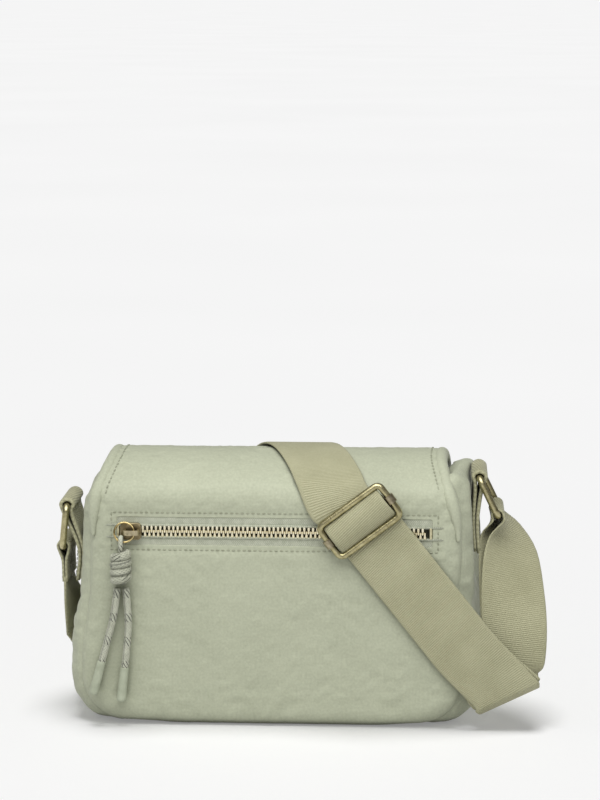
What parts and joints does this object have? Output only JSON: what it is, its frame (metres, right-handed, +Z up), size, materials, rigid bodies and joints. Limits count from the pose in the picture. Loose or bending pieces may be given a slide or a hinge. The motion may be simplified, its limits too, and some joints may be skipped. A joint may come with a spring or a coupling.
{
  "type": "crossbody purse",
  "caption": "Padded crossbody purse with a fold-over flap, a zipped back pocket with a knotted cord pull, wire strap rings and an adjustable webbing strap.",
  "frame": {"origin": "middle of the flat base that the purse stands on", "axes": "+X along the width, to the right as the zipped back face is seen; +Y from the zipped back face to the flap's front face; +Z up"},
  "size_m": [0.2894, 0.1066, 0.1624],
  "materials": {
    "cover": "soft matt satin, fine wrinkles",
    "lining": "plain woven",
    "wadding": "loose fibre",
    "webbing": "twill webbing, diagonal rib",
    "tape": "chevron woven zip tape",
    "teeth": "pale polished",
    "slider": "antique, worn bright at its edges",
    "ring_wire": "polished",
    "fittings": "antique, satin",
    "cord": "braided, with dark flecks",
    "tips": "matt",
    "steel": "plated"
  },
  "bodies": {
    "bag": {"back_panel": "cover", "back_wadding": "wadding", "front_panel": "cover", "front_wadding": "wadding", "gusset": "cover", "gusset_wadding": "wadding", "lining": "lining", "pocket_bag": "lining", "zip_tape_upper": "tape", "zip_tape_lower": "tape", "zip_teeth_upper": "teeth", "zip_teeth_lower": "teeth", "zip_stop_left": "teeth", "zip_stop_right": "teeth", "snap_socket": "steel", "snap_socket_washer": "steel", "tab_left": "webbing", "tab_right": "webbing", "strap_back_run": "webbing", "strap_under_run": "webbing", "strap_fold_inner": "webbing", "strap_fold_outer": "webbing", "strap_right_outer": "webbing", "strap_right_inner": "webbing", "strap_left_run": "webbing", "strap_top_bend": "webbing"},
    "flap": {"flap_panel": "cover", "flap_wadding": "wadding", "flap_lining": "lining", "flap_edge_roll": "cover", "snap_stud": "steel", "snap_stud_washer": "steel", "strap_front_run": "webbing", "strap_over_top": "webbing"},
    "zip_slider": {"slider_body": "slider", "slider_bridge": "slider"},
    "pull_ring": {"pull_ring": "ring_wire"},
    "pull_cord": {"pull_cord_loop": "cord", "pull_knot": "cord", "pull_tail_left": "cord", "pull_tail_right": "cord", "tip_left": "tips", "tip_right": "tips"},
    "ring_left": {"strap_ring_left": "fittings", "strap_loop_left": "webbing"},
    "ring_right": {"strap_ring_right": "fittings", "strap_loop_right": "webbing"},
    "adjuster": {"adjuster_frame": "fittings"},
    "adjuster_bar": {"adjuster_bar": "fittings", "strap_over_bar": "webbing"}
  },
  "joints": [
    {"name": "flap_hinge", "type": "hinge", "parent": "bag", "child": "flap", "pos_m": [0, -0.0424, 0.144], "axis": [1, 0, 0], "range_deg": [0, 84], "deforming": ["strap_top_bend", "strap_left_run"]},
    {"name": "zip_slide", "type": "slide", "parent": "bag", "child": "zip_slider", "axis": [1, 0, 0], "range_m": [0, 0.09]},
    {"name": "pull_ring_swing", "type": "hinge", "parent": "zip_slider", "child": "pull_ring", "pos_m": [-0.0823, -0.046, 0.116], "axis": [0, 0, 1], "range_deg": [0, 80]},
    {"name": "pull_cord_swing", "type": "hinge", "parent": "pull_ring", "child": "pull_cord", "pos_m": [-0.0897, -0.04749, 0.11045], "axis": [-1, 0, 0], "range_deg": [0, 40]},
    {"name": "ring_left_swing", "type": "hinge", "parent": "bag", "child": "ring_left", "pos_m": [-0.125, 0, 0.126], "axis": [0, 1, 0], "range_deg": [0, 70], "deforming": ["strap_left_run"]},
    {"name": "ring_right_swing", "type": "hinge", "parent": "bag", "child": "ring_right", "pos_m": [0.118, 0, 0.145], "axis": [0, 1, 0], "range_deg": [-40, 10], "deforming": ["strap_right_outer", "strap_right_inner"]},
    {"name": "adjuster_slide", "type": "slide", "parent": "bag", "child": "adjuster", "axis": [0.6225, 0, -0.7826], "range_m": [0, 0.074]},
    {"name": "adjuster_bar_slide", "type": "slide", "parent": "adjuster", "child": "adjuster_bar", "axis": [-0.6018, 0, 0.7986], "range_m": [-0.003, 0.003]}
  ]
}
